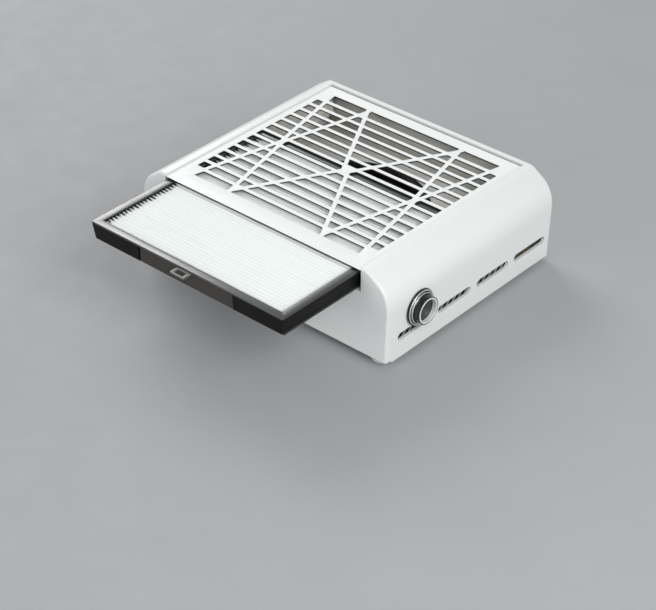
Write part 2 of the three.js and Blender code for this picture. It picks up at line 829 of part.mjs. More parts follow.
const shells = subassembly();
addTo(shells, "main_housing", mainHousing(), WHITE);
addTo(shells, "top_grille", topGrille(), WHITE);
addTo(shells, "base_cover", baseCover(), WHITE);
addTo(shells, "fan_deck", fanDeck(), GREY);
addTo(shells, "filter_back_wall", filterBackWall(), GREY);
addTo(shells, "inlet_ring", inletRing(), BLACK);
addTo(shells, "filter_rail_left", filterRail(-1), GREY);
addTo(shells, "filter_rail_right", filterRail(1), GREY);
addTo(shells, "louver_strip_left", louverStrip(-1), WHITE);
addTo(shells, "louver_strip_right", louverStrip(1), WHITE);
addTo(shells, "damping_pad", dampingPad(), FELT);

const CORNER_NAMES = ["front_left", "front_right", "rear_left", "rear_right"];
CORNERS.forEach(([sx, sy], i) => {
  const place = CORNER_NAMES[i];
  addTo(shells, `foot_${place}`, at(foot(), sx * FOOT_AT[0], sy * FOOT_AT[1], 0), SILICONE);
  const housingScrew = at(screw(18), sx * HOUSING_BOSS_AT[0], sy * HOUSING_BOSS_AT[1], 0);
  addTo(shells, `housing_screw_${place}`, housingScrew, STEEL);
  const [postX, postY] = [sx * DECK_POST_AT[0], sy * DECK_POST_AT[1]];
  addTo(shells, `deck_post_${place}`, at(deckPost(), postX, postY, 0), GREY);
  const deckScrew = at(screw(14), postX, postY, 0);
  addTo(shells, `deck_screw_${place}`, deckScrew, STEEL);
});

const drive = subassembly();
const motorPlate = cut(
  ring(20, 3.4, BASE_THICK + GAP, 5),
  ...aroundMotor(rod(PILOT, 0, 8, SMALL_ROUND)),
);
addTo(drive, "motor_plate", motorPlate, STEEL);
aroundMotor(screw(5.4)).forEach((body, i) => {
  addTo(drive, `motor_screw_${i + 1}`, body, STEEL);
});
addTo(drive, "motor_bearing", ring(5.6, SHAFT_RADIUS + 0.06, 5.4, 19), BRASS);
addTo(drive, "motor_stator", stator(), COPPER);
addTo(drive, "rotor_can", rotorCan(), STEEL);
addTo(drive, "motor_shaft", rod(SHAFT_RADIUS, 5.6, 29.5), STEEL);
addTo(drive, "impeller", impeller(), BLACK);
addTo(drive, "hub_nut", hexNut(7, 1.9, 24.3, 27), BRASS);

const controls = subassembly();
addTo(controls, "speed_potentiometer", onKnobAxis(potentiometer()), STEEL);
addTo(controls, "potentiometer_nut", onKnobAxis(hexNut(10, 4.2, WALL_FACE, WALL_FACE + 1.6)), BRASS);
addTo(controls, "knob_bezel", onKnobAxis(knobBezel()), BLACK);
addTo(controls, "bezel_trim", onKnobAxis(bezelTrim()), CHROME);
addTo(controls, "potentiometer_shaft", onKnobAxis(rod(3, 112, SHAFT_TIP)), STEEL);
addTo(controls, "knob_barrel", onKnobAxis(knobBarrel()), BLACK);
addTo(controls, "knob_skirt_ring", onKnobAxis(skirtRing()), CHROME);
addTo(controls, "knob_rim", onKnobAxis(knobRim()), CHROME);
const knobFace = rod(RECESS_RADIUS + 0.4, RECESS_FLOOR - 0.5, RECESS_FLOOR, KNOB_ROUND);
addTo(controls, "knob_face", onKnobAxis(knobFace), DARK_FACE);

const board = box([107.6, 109.2], [-89, -53], [14, 52]);
addTo(controls, "control_board", board, BOARD);
const capacitor = facingRight(rod(3.2, 99.9, 107.3, SMALL_ROUND)).translate([0, -58, 24]);
addTo(controls, "board_capacitor", capacitor, BLACK);
addTo(controls, "board_connector", box([103, 107.3], [-84, -76], [17, 23]), SILICONE);
addTo(controls, "driver_chip", box([105.4, 107.3], [-72, -64], [38, 46]), BLACK);

const inletBody = join(
  rod(INLET_SLEEVE, REAR - 13, REAR + GAP + 0.5),
  rod(INLET_SLEEVE + 2, REAR + GAP, REAR + 2.2),
);
const inletSocket = rod(2.9, REAR - 9, REAR + 4);
addTo(controls, "power_inlet", onInletAxis(cut(inletBody, inletSocket)), BLACK);
const inletPin = rod(1, REAR - 8.6, REAR - 0.5, SMALL_ROUND);
addTo(controls, "inlet_pin", onInletAxis(inletPin), STEEL);
const inletNut = hexNut(14, INLET_SLEEVE + GAP, REAR - WALL - GAP - 2.4, REAR - WALL - GAP);
addTo(controls, "inlet_nut", onInletAxis(inletNut), STEEL);

const powerRoute = [
  [110, 86.8, 22],
  [108.6, 76, 18],
  [104.6, 58, 12],
  [104, 10, 11],
  [104, -40, 11],
  [104.6, -66, 11.6],
  [105.2, -82, 14],
];
addTo(controls, "power_lead", lead(powerRoute, 1.4), BLACK);
const motorRoute = [
  [102.4, -80, 20],
  [100.2, -79.6, 19.4],
  [98.2, -75, 15],
  [94, -66, 11],
  [84, -50, 6],
  [60, -26, 4.4],
  [40, -10, 4.2],
  [21.8, -2, 4.2],
];
addTo(controls, "motor_lead", lead(motorRoute, 1.2), BLACK);

const cartridge = subassembly();
addTo(cartridge, "filter_frame", filterFrame(), BLACK);
addTo(cartridge, "filter_media", filterMedia(), PAPER);
addTo(cartridge, "filter_seal", filterSeal(), FOAM);
addTo(cartridge, "pull_tab", pullTab(), BLACK);

export default part;
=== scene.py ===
# The nail dust collector's visible surfaces, materials, camera and light, in the part's own frame.
# Shapes are given in millimetres and scaled by MM. Lights and the camera's distance are in metres.
import math
import random

import bmesh
import bpy
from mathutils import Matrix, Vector, noise


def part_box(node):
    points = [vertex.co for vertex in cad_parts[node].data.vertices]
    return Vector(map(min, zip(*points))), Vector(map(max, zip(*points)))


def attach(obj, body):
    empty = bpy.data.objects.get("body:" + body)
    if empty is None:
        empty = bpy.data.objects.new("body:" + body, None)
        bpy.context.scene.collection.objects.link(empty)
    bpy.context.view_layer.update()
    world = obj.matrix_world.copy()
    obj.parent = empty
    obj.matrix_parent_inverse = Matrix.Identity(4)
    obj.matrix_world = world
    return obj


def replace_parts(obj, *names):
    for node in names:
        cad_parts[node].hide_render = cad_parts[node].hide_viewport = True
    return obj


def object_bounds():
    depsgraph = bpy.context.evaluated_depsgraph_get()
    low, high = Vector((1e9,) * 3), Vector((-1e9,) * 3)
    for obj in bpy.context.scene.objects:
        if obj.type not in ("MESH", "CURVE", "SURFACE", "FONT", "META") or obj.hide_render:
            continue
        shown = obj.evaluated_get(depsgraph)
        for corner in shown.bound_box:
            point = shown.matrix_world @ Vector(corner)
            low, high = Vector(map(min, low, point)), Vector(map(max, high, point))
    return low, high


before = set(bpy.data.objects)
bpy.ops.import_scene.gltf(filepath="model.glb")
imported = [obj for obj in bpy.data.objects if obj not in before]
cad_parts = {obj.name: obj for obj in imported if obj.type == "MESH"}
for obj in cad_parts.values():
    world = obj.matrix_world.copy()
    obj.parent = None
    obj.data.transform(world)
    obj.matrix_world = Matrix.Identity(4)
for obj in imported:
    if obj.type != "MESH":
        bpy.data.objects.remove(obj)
cad_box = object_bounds()

MM = 0.001
WELD = 1e-6  # vertices of a CAD mesh this near, in metres, are one
MERGE = 1e-7  # the same for the meshes made here
random.seed(7)


def span(node):
    """Lowest and highest corner of a CAD node, in millimetres."""
    low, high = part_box(node)
    return [v / MM for v in low], [v / MM for v in high]


HOUSING_LOW, HOUSING_HIGH = span("main_housing")
PANEL_LOW, PANEL_HIGH = span("top_grille")
FRAME_LOW, FRAME_HIGH = span("filter_frame")
MEDIA_LOW, MEDIA_HIGH = span("filter_media")
TAB_LOW, TAB_HIGH = span("pull_tab")
BEZEL_LOW, BEZEL_HIGH = span("knob_bezel")
BARREL_LOW, BARREL_HIGH = span("knob_barrel")
RIM_LOW, RIM_HIGH = span("knob_rim")
SILL_TOP = 11.5  # top of the ledge that the outlets' fins stand on
PLEAT_PITCH = 3.5
PLEAT_DEPTH = 3.4
PAPER_THICK = 0.25
CREST = MEDIA_HIGH[2] + 0.7  # top of the folds

# ---------------------------------------------------------------- camera

CAMERA_TARGET = Vector((-35.1, 16.9, -78.8)) * MM
CAMERA_DISTANCE = 1.7
CAMERA_AZIMUTH = math.radians(41.44)
CAMERA_ELEVATION = math.radians(34.63)
CAMERA_LENS = 111.39


def add_camera():
    data = bpy.data.cameras.new("camera")
    data.lens = CAMERA_LENS
    data.sensor_width = 36
    data.clip_start = 0.05
    data.clip_end = 50
    camera = bpy.data.objects.new("camera", data)
    level = math.cos(CAMERA_ELEVATION)
    away = Vector((
        math.sin(CAMERA_AZIMUTH) * level,
        -math.cos(CAMERA_AZIMUTH) * level,
        math.sin(CAMERA_ELEVATION),
    ))
    camera.location = CAMERA_TARGET + away * CAMERA_DISTANCE
    camera.rotation_euler = away.to_track_quat("Z", "Y").to_euler()
    bpy.context.scene.collection.objects.link(camera)
    bpy.context.scene.camera = camera


# ---------------------------------------------------------------- materials

def new_material(name):
    material = bpy.data.materials.new(name)
    material.use_nodes = True
    tree = material.node_tree
    shader = tree.nodes["Principled BSDF"]
    return material, tree, shader


def noise_texture(tree, scale, detail=3, roughness=0.5, stretch=None):
    """Noise in the part's own coordinates; `scale` is in cycles per metre."""
    place = tree.nodes.new("ShaderNodeTexCoord")
    source = place.outputs["Object"]
    if stretch:
        mapping = tree.nodes.new("ShaderNodeMapping")
        mapping.inputs["Scale"].default_value = stretch
        tree.links.new(source, mapping.inputs["Vector"])
        source = mapping.outputs["Vector"]
    texture = tree.nodes.new("ShaderNodeTexNoise")
    texture.inputs["Scale"].default_value = scale
    texture.inputs["Detail"].default_value = detail
    texture.inputs["Roughness"].default_value = roughness
    tree.links.new(source, texture.inputs["Vector"])
    return texture.outputs["Fac"]


def ramp(tree, source, low, high, start=0.3, end=0.7):
    """Maps a 0..1 value to numbers or colours between low and high."""
    if isinstance(low, (int, float)):
        made = tree.nodes.new("ShaderNodeMapRange")
        made.inputs["From Min"].default_value = start
        made.inputs["From Max"].default_value = end
        made.inputs["To Min"].default_value = low
        made.inputs["To Max"].default_value = high
        tree.links.new(source, made.inputs["Value"])
        return made.outputs["Result"]
    made = tree.nodes.new("ShaderNodeValToRGB")
    made.color_ramp.elements[0].position = start
    made.color_ramp.elements[1].position = end
    made.color_ramp.elements[0].color = (*low, 1)
    made.color_ramp.elements[1].color = (*high, 1)
    tree.links.new(source, made.inputs["Fac"])
    return made.outputs["Color"]


def bump(tree, shader, source, distance, strength=1.0):
    made = tree.nodes.new("ShaderNodeBump")
    made.inputs["Distance"].default_value = distance
    made.inputs["Strength"].default_value = strength
    tree.links.new(source, made.inputs["Height"])
    tree.links.new(made.outputs["Normal"], shader.inputs["Normal"])


def shade_of(color, factor):
    return tuple(min(1.0, channel * factor) for channel in color)


def part_height(tree):
    """Height in the part's own coordinates, in metres."""
    place = tree.nodes.new("ShaderNodeTexCoord")
    split = tree.nodes.new("ShaderNodeSeparateXYZ")
    tree.links.new(place.outputs["Object"], split.inputs["Vector"])
    return split.outputs["Z"]


MIX_COLORS, MIX_RESULT = (6, 7), 2  # a mix node's sockets for colours


def mixed(tree, factor, low, high):
    """Turns from the colour `low` to `high` as `factor` goes from 0 to 1."""
    mix = tree.nodes.new("ShaderNodeMix")
    mix.data_type = "RGBA"
    tree.links.new(factor, mix.inputs[0])
    for socket, source in zip(MIX_COLORS, (low, high)):
        tree.links.new(source, mix.inputs[socket])
    return mix.outputs[MIX_RESULT]


def vector_math(tree, operation, source, operand=None):
    made = tree.nodes.new("ShaderNodeVectorMath")
    made.operation = operation
    tree.links.new(source, made.inputs[0])
    if operand is not None:
        made.inputs[1].default_value = operand
    return made


def plastic(
        name, color, roughness, grain=900, grain_depth=0.00002, mottle=0.04, coat=0.0, index=1.5):
    """Moulded plastic: cloudy colour, uneven gloss and a fine moulded grain."""
    material, tree, shader = new_material(name)
    cloud = noise_texture(tree, 14, 4)
    tint = ramp(tree, cloud, shade_of(color, 1 - mottle), shade_of(color, 1 + mottle / 2))
    tree.links.new(tint, shader.inputs["Base Color"])
    wipe = noise_texture(tree, 45, 4)
    gloss = ramp(tree, wipe, roughness * 0.88, min(1.0, roughness * 1.12))
    tree.links.new(gloss, shader.inputs["Roughness"])
    bump(tree, shader, noise_texture(tree, grain, 2), grain_depth)
    shader.inputs["IOR"].default_value = index
    if coat:
        shader.inputs["Coat Weight"].default_value = coat
        shader.inputs["Coat Roughness"].default_value = 0.08
    return material


def metal(name, color, roughness, grain=1600, stretch=None, grain_depth=0.000004, metallic=1.0):
    """Bare or plated metal with fine brushing along one direction."""
    material, tree, shader = new_material(name)
    shader.inputs["Metallic"].default_value = metallic
    cloud = noise_texture(tree, 60, 3)
    tint = ramp(tree, cloud, shade_of(color, 0.92), shade_of(color, 1.04))
    tree.links.new(tint, shader.inputs["Base Color"])
    brush = noise_texture(tree, grain, 3, 0.6, stretch)
    gloss = ramp(tree, brush, roughness * 0.75, min(1.0, roughness * 1.3))
    tree.links.new(gloss, shader.inputs["Roughness"])
    bump(tree, shader, brush, grain_depth)
    return material


def spun_metal(name, color, roughness, centre):
    """Turned circles round an axis along X through `centre`, in metres."""
    material, tree, shader = new_material(name)
    shader.inputs["Metallic"].default_value = 1.0
    place = tree.nodes.new("ShaderNodeTexCoord")
    away = vector_math(tree, "SUBTRACT", place.outputs["Object"], centre)
    flat = vector_math(tree, "MULTIPLY", away.outputs["Vector"], (0, 1, 1))
    radius = vector_math(tree, "LENGTH", flat.outputs["Vector"])
    rings = tree.nodes.new("ShaderNodeTexNoise")
    rings.noise_dimensions = "1D"
    rings.inputs["Scale"].default_value = 2600
    rings.inputs["Detail"].default_value = 4
    tree.links.new(radius.outputs["Value"], rings.inputs["W"])
    tint = ramp(tree, rings.outputs["Fac"], shade_of(color, 0.7), shade_of(color, 1.3))
    tree.links.new(tint, shader.inputs["Base Color"])
    gloss = ramp(tree, rings.outputs["Fac"], roughness * 0.7, roughness * 1.3)
    tree.links.new(gloss, shader.inputs["Roughness"])
    bump(tree, shader, rings.outputs["Fac"], 0.00002)
    return material


def paper(name, color, crest, depth):
    """Filter paper: matt, with short fibres lying mostly along the folds, and painted shade greying
    it down in them.
    """
    material, tree, shader = new_material(name)
    shader.inputs["Roughness"].default_value = 0.95
    shader.inputs["Sheen Weight"].default_value = 0.3
    fibres = noise_texture(tree, 900, 5, 0.7, (0.35, 1.2, 1))
    tint = ramp(tree, fibres, shade_of(color, 0.98), color, 0.35, 0.65)
    # painted shade: the paper greyer towards the bottom of each fold
    fold_painted_shade = ramp(tree, fibres, shade_of(color, 0.84), shade_of(color, 0.90), 0.35, 0.65)
    rise = ramp(tree, part_height(tree), 0.0, 1.0, (crest - depth) * MM, (crest - 0.25 * depth) * MM)
    tree.links.new(mixed(tree, rise, fold_painted_shade, tint), shader.inputs["Base Color"])
    bump(tree, shader, fibres, 0.00008, 0.7)
    return material


def painted_shade_by_height(name, lower, upper, height):
    """Plastic with one colour below `height`, in millimetres, and another above it; here one of the
    two is always painted shade.
    """
    material, tree, shader = new_material(name)
    above = ramp(tree, part_height(tree), 0.0, 1.0, (height - 0.1) * MM, (height + 0.1) * MM)
    cloud = noise_texture(tree, 14, 4)
    tints = [ramp(tree, cloud, shade_of(color, 0.95), color) for color in (lower, upper)]
    tree.links.new(mixed(tree, above, *tints), shader.inputs["Base Color"])
    shader.inputs["Roughness"].default_value = 0.45
    bump(tree, shader, noise_texture(tree, 900, 2), 0.00002)
    return material


def foam(name, color):
    material, tree, shader = new_material(name)
    shader.inputs["Roughness"].default_value = 0.95
    cells = noise_texture(tree, 1500, 4, 0.8)
    tint = ramp(tree, cells, shade_of(color, 0.5), shade_of(color, 1.2))
    tree.links.new(tint, shader.inputs["Base Color"])
    bump(tree, shader, cells, 0.0003)
    return material


WHITE = plastic("white_shell", (0.86, 0.88, 0.87), 0.36, mottle=0.015, coat=0.15)
GRILLE_WHITE = plastic("white_grille", (0.88, 0.89, 0.885), 0.42, mottle=0.01)
DECK_GREY = plastic("deck_grey", (0.82, 0.80, 0.76), 0.55, mottle=0.10)
SOFT_WHITE = plastic("foot_silicone", (0.80, 0.83, 0.82), 0.55, grain=500)
BLACK = plastic(
    "black_plastic", (0.018, 0.018, 0.018), 0.38, grain=700, grain_depth=0.00004, mottle=0.3)
LIP_GREY = plastic(
    "lip_grey", (0.03, 0.03, 0.031), 0.3, grain=800, grain_depth=0.00003, mottle=0.25, index=2.0)
LOOP_GREY = plastic(
    "loop_grey", (0.22, 0.215, 0.21), 0.4, grain=800, grain_depth=0.00003, mottle=0.15)
WALL_BLACK = plastic(
    "wall_black", (0.006, 0.006, 0.006), 0.5, grain=500, grain_depth=0.00006, mottle=0.4, index=1.25)
# painted shade: near-black for the grille slots' walls, which lie in shade
SLOT_WALL_SHADE = plastic("slot_wall_painted_shade", (0.012, 0.012, 0.012), 0.6, mottle=0.3)
GRIP_BROWN = plastic("grip_brown", (0.045, 0.04, 0.035), 0.5, mottle=0.25)
SHADE_INSIDE_BASE = 1.6  # the base cover is painted dark inside above this height: painted shade for the dark interior
# painted shade: white at the bottom, near-black inside above that height, for the shaded interior
WHITE_SHADED_INSIDE = painted_shade_by_height("white_painted_shade_inside", (0.86, 0.88, 0.87), (0.03, 0.03, 0.028), SHADE_INSIDE_BASE)
# painted shade: fins mid grey, and near-black below the sill, for the shaded inside of the outlets
FIN_PAINTED_SHADE = painted_shade_by_height("fin_painted_shade", (0.02, 0.02, 0.019), (0.32, 0.33, 0.32), SILL_TOP + 0.1)
FELT = plastic("tan_felt", (0.55, 0.45, 0.26), 0.9, grain=1800, grain_depth=0.0002, mottle=0.3)
GLOSS_BLACK = plastic("gloss_black", (0.008, 0.008, 0.009), 0.12, grain=300, grain_depth=0.000005)
CHROME = metal("chrome", (0.95, 0.96, 0.96), 0.3, grain=400)
RIM_PLATE = metal("rim_plate", (0.95, 0.96, 0.96), 0.3, grain=400, metallic=0.3)
STEEL = metal("zinc_steel", (0.52, 0.53, 0.54), 0.34, stretch=(1, 1, 0.1))
BRASS = metal("brass", (0.62, 0.46, 0.2), 0.32, stretch=(1, 1, 0.1))
COPPER = metal("winding_copper", (0.62, 0.30, 0.15), 0.4, grain=2400, stretch=(1, 1, 6))
PAPER = paper("filter_paper", (0.96, 0.98, 0.97), CREST, PLEAT_DEPTH)
GLUE = plastic("glue_line", (0.92, 0.94, 0.93), 0.5, grain=500)
FOAM = foam("seal_foam", (0.05, 0.05, 0.052))
BOARD = plastic("circuit_board", (0.02, 0.11, 0.045), 0.35, grain=1500, mottle=0.3)
KNOB_CENTRE = [(BEZEL_LOW[i] + BEZEL_HIGH[i]) / 2 * MM for i in range(3)]
SPUN = spun_metal("spun_metal", (0.11, 0.115, 0.115), 0.5, KNOB_CENTRE)

# ---------------------------------------------------------------- mesh helpers


def link(name, mesh, material, body, smooth_angle=35):
    made = bpy.data.objects.new(name, mesh)
    bpy.context.scene.collection.objects.link(made)
    mesh.materials.clear()
    mesh.materials.append(material)
    for face in mesh.polygons:
        face.use_smooth = True
    mesh.set_sharp_from_angle(angle=math.radians(smooth_angle))
    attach(made, body)
    return made


def mesh_from(name, points, faces):
    """A mesh from points in millimetres."""
    mesh = bpy.data.meshes.new(name)
    mesh.from_pydata([tuple(v * MM for v in p) for p in points], [], faces)
    tidy = bmesh.new()
    tidy.from_mesh(mesh)
    bmesh.ops.remove_doubles(tidy, verts=tidy.verts, dist=MERGE)
    bmesh.ops.recalc_face_normals(tidy, faces=tidy.faces)
    tidy.to_mesh(mesh)
    tidy.free()
    return mesh


def lofted(name, sections):
    """A closed mesh through sections with the same number of points, capped at both ends."""
    count = len(sections[0])
    points = [p for section in sections for p in section]
    faces = []
    for i in range(len(sections) - 1):
        for j in range(count):
            k = (j + 1) % count
            faces.append((i * count + j, i * count + k, (i + 1) * count + k, (i + 1) * count + j))
    faces.append(tuple(range(count)))
    faces.append(tuple((len(sections) - 1) * count + j for j in range(count)))
    return mesh_from(name, points, faces)


def turned(name, profile, place, segments=96):
    """A [radius, height] profile turned round.

    `place` maps (radius * cos, radius * sin, height) to a point.
    """
    points = []
    for i in range(segments):
        angle = 2 * math.pi * i / segments
        points += [place(r * math.cos(angle), r * math.sin(angle), h) for r, h in profile]
    count = len(profile)
    faces = []
    for i in range(segments):
        k = (i + 1) % segments
        for j in range(count - 1):
            faces.append((i * count + j, k * count + j, k * count + j + 1, i * count + j + 1))
    mesh = mesh_from(name, points, faces)
    clean = bmesh.new()
    clean.from_mesh(mesh)
    bmesh.ops.dissolve_degenerate(clean, edges=clean.edges, dist=MERGE)
    bmesh.ops.recalc_face_normals(clean, faces=clean.faces)
    clean.to_mesh(mesh)
    clean.free()
    return mesh


def rounded(profile, radius, steps=4):
    """Rounds the corners of an open [radius, height] profile, apart from its two ends."""
    out = [profile[0]]
    for before, corner, after in zip(profile, profile[1:], profile[2:]):
        a, b, c = Vector(before), Vector(corner), Vector(after)
        reach = min(radius, (a - b).length * 0.45, (c - b).length * 0.45)
        start = b + (a - b).normalized() * reach
        end = b + (c - b).normalized() * reach
        for i in range(steps + 1):
            t = i / steps
            out.append(tuple(start.lerp(b, t).lerp(b.lerp(end, t), t)))
    out.append(profile[-1])
    return out


def block(name, low, high):
    x0, y0, z0 = low
    x1, y1, z1 = high
    lower = [(x0, y0, z0), (x1, y0, z0), (x1, y1, z0), (x0, y1, z0)]
    upper = [(x, y, z1) for x, y, _ in lower]
    return lofted(name, [lower, upper])


def stadium(centre_y, centre_z, half_length, half_height, x0, x1, steps=14):
    """A slot-shaped cutter along X."""
    ring = []
    straight = half_length - half_height
    for side in (1, -1):
        for i in range(steps + 1):
            angle = -math.pi / 2 + math.pi * i / steps
            y = centre_y + side * (straight + half_height * math.cos(angle))
            z = centre_z + side * half_height * math.sin(angle)
            ring.append((y, z))
    return lofted("cutter", [[(x, y, z) for y, z in ring] for x in (x0, x1)])


def carve(mesh, cutters):
    """mesh minus each cutter, as a new mesh."""
    body = bpy.data.objects.new("carving", mesh)
    bpy.context.scene.collection.objects.link(body)
    tools = []
    for cutter in cutters:
        tool = bpy.data.objects.new("tool", cutter)
        bpy.context.scene.collection.objects.link(tool)
        step = body.modifiers.new("cut", "BOOLEAN")
        step.operation = "DIFFERENCE"
        step.solver = "EXACT"
        step.object = tool
        tools.append(tool)
    bpy.context.view_layer.update()
    graph = bpy.context.evaluated_depsgraph_get()
    result = bpy.data.meshes.new_from_object(body.evaluated_get(graph))
    for leftover in [body, *tools]:
        bpy.data.objects.remove(leftover)
    return result


def soften(made, width, segments=3, angle=32):
    """Rounds every edge sharper than `angle` degrees."""
    edge = made.modifiers.new("edge", "BEVEL")
    edge.width = width * MM
    edge.segments = segments
    edge.limit_method = "ANGLE"
    edge.angle_limit = math.radians(angle)
    edge.use_clamp_overlap = True
    edge.harden_normals = True
    return made


# ---------------------------------------------------------------- CAD nodes kept as they are

SMOOTH_ANGLE = 35  # degrees between faces that are still shaded as one surface


def shading_nodes():
    """Geometry nodes that weld a CAD mesh and shade it smooth up to SMOOTH_ANGLE."""
    tree = bpy.data.node_groups.new("weld_and_shade", "GeometryNodeTree")
    tree.interface.new_socket("Geometry", in_out="INPUT", socket_type="NodeSocketGeometry")
    tree.interface.new_socket("Geometry", in_out="OUTPUT", socket_type="NodeSocketGeometry")
    source = tree.nodes.new("NodeGroupInput")
    target = tree.nodes.new("NodeGroupOutput")
    weld = tree.nodes.new("GeometryNodeMergeByDistance")
    weld.inputs["Distance"].default_value = WELD
    faces = tree.nodes.new("GeometryNodeSetShadeSmooth")
    edges = tree.nodes.new("GeometryNodeSetShadeSmooth")
    edges.domain = "EDGE"
    angle = tree.nodes.new("GeometryNodeInputMeshEdgeAngle")
    flat_enough = tree.nodes.new("FunctionNodeCompare")
    flat_enough.operation = "LESS_THAN"
    flat_enough.inputs["B"].default_value = math.radians(SMOOTH_ANGLE)
    links = tree.links
    links.new(source.outputs[0], weld.inputs["Geometry"])
    links.new(weld.outputs["Geometry"], faces.inputs["Geometry"])
    links.new(faces.outputs["Geometry"], edges.inputs["Geometry"])
    links.new(angle.outputs["Unsigned Angle"], flat_enough.inputs["A"])
    links.new(flat_enough.outputs["Result"], edges.inputs["Shade Smooth"])
    links.new(edges.outputs["Geometry"], target.inputs[0])
    return tree


SHADING = shading_nodes()


def keep(name, material, edge=0.0):
    """A CAD node shown as it is, with fine edges and its own material."""
    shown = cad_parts[name]
    shown.data.materials.clear()
    shown.data.materials.append(material)
    if edge:
        weld = shown.modifiers.new("weld", "WELD")
        weld.merge_threshold = WELD
        flat = shown.modifiers.new("flat", "DECIMATE")
        flat.decimate_type = "DISSOLVE"
        flat.angle_limit = math.radians(1)
        soften(shown, edge, 2)
    shade = shown.modifiers.new("shade", "NODES")
    shade.node_group = SHADING


# ---------------------------------------------------------------- housing

WALL = 2.6
BASE_HALF = 125.0  # half width at the bottom
SIDE_TOP = 46.5  # height at which the side starts to bend in
SLOPE_FOOT = (116.0, 69.1)  # ends of the straight slope below the rim, as (x, z)
SLOPE_HEAD = (107.5, 74.7)
FLAT_END = 102.4  # half width of the flat rim
END_ROUND = 2.4  # rounding of the front and rear edges
OUTLET_Z = 19.1
OUTLET_HALF_LENGTH = 19.8
OUTLET_HALF_HEIGHT = 3.4
OUTLET_CENTRES = [-68 + 47 * i for i in range(4)]
SEAM = 0.3  # gap round the grille
REAR_GROOVE = 1.6  # wider gap behind the grille
MOUTH_CLEARANCE = 1.7  # under the cartridge, in the front wall
PAST = 140  # cutters reach this far each way from the middle


def curve_points(controls, steps):
    """Points on a Bezier curve of any degree, without its first one."""
    out = []
    for i in range(1, steps + 1):
        row = [Vector(c) for c in controls]
        t = i / steps
        while len(row) > 1:
            row = [a.lerp(b, t) for a, b in zip(row, row[1:])]
        out.append(tuple(row[0]))
    return out


def half_section():
    """Right half of the housing's outline in X and Z, from the bottom to the middle of the top."""
    side, top = HOUSING_HIGH[0], HOUSING_HIGH[2]
    line = [(BASE_HALF, 0.0)]
    line.append((side - 0.04, SIDE_TOP - 2))
    pull = (SLOPE_FOOT[0] + 6.5, SLOPE_FOOT[1] - 4.3)
    bend = [(side, SIDE_TOP), (side, SIDE_TOP + 11), pull, SLOPE_FOOT]
    line += [bend[0]] + curve_points(bend, 20)
    line += curve_points([SLOPE_FOOT, SLOPE_HEAD], 3)
    line += curve_points([SLOPE_HEAD, (SLOPE_HEAD[0] - 2.3, top), (FLAT_END, top)], 10)
    return line


def inset_line(line, depth):
    """Moves an open line inwards, keeping its first point's height."""
    if depth == 0:
        return list(line)
    out = []
    for i, point in enumerate(line):
        before = Vector(line[max(0, i - 1)])
        after = Vector(line[min(len(line) - 1, i + 1)])
        along = (after - before).normalized()
        normal = Vector((-along.y, along.x))
        moved = Vector(point) + normal * depth
        out.append((moved.x, 0.0 if i == 0 else moved.y))
    out[-1] = (out[-1][0], line[-1][1] - depth)
    return out


def housing_ring(depth, y, bottom=0.0):
    right = inset_line(half_section(), depth)
    right[0] = (right[0][0], bottom)
    left = [(-x, z) for x, z in reversed(right)]
    return [(x, y, z) for x, z in right + left]


def make_housing():
    front, rear = HOUSING_LOW[1], HOUSING_HIGH[1]
    steps = 6
    stations = []
    for i in range(steps + 1):
        angle = math.pi / 2 * i / steps
        depth, back = 1 - math.sin(angle), 1 - math.cos(angle)
        stations.append((END_ROUND * depth, front + END_ROUND * back))
    mirrored = [(depth, rear - (y - front)) for depth, y in reversed(stations)]
    outer = lofted("housing_shell", [housing_ring(d, y) for d, y in stations + mirrored])
    inner = lofted("cutter", [housing_ring(WALL, y, -2.0) for y in (front + WALL, rear - WALL)])
    opening = block(
        "cutter",
        (PANEL_LOW[0] - SEAM, front - 2, FRAME_LOW[2] - MOUTH_CLEARANCE),
        (PANEL_HIGH[0] + SEAM, PANEL_HIGH[1] + REAR_GROOVE, HOUSING_HIGH[2] + 4),
    )
    relief = block("cutter", (-PAST, front - 2, -3), (PAST, front + WALL + 4, 2))
    cutters = [inner, opening, relief]
    for centre in OUTLET_CENTRES:
        outlet = stadium(centre, OUTLET_Z, OUTLET_HALF_LENGTH, OUTLET_HALF_HEIGHT, -PAST, PAST)
        cutters.append(outlet)
    shell = carve(outer, cutters)
    made = link("housing_shell", shell, WHITE, "housing", 30)
    soften(made, 0.5)
    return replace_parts(made, "main_housing")


# ---------------------------------------------------------------- grille

def face_loops(name, height):
    """Outlines of a CAD node's flat faces at a height, as lists of (x, y) in millimetres."""
    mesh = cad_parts[name].data
    flat = bmesh.new()
    flat.from_mesh(mesh)
    bmesh.ops.remove_doubles(flat, verts=flat.verts, dist=WELD)
    level = [f for f in flat.faces if all(abs(v.co.z / MM - height) < 0.01 for v in f.verts)]
    inside = set(level)
    neighbours = {}
    for face in level:
        for loop in face.loops:
            if sum(f in inside for f in loop.edge.link_faces) == 1:
                neighbours[loop.vert] = loop.link_loop_next.vert
    outlines = []
    while neighbours:
        start = current = next(iter(neighbours))
        line = []
        while current in neighbours:
            line.append((current.co.x / MM, current.co.y / MM))
            current = neighbours.pop(current)
        if current is start and len(line) > 2:
            outlines.append(line)
    flat.free()
    return outlines


def straightened(line):
    """Drops points in the middle of a straight run."""
    out = []
    for i, point in enumerate(line):
        a, b, c = Vector(line[i - 1]), Vector(point), Vector(line[(i + 1) % len(line)])
        if (b - a).length < 0.02:
            continue
        if abs((b - a).normalized().cross((c - b).normalized())) > 0.01:
            out.append(point)
    return out


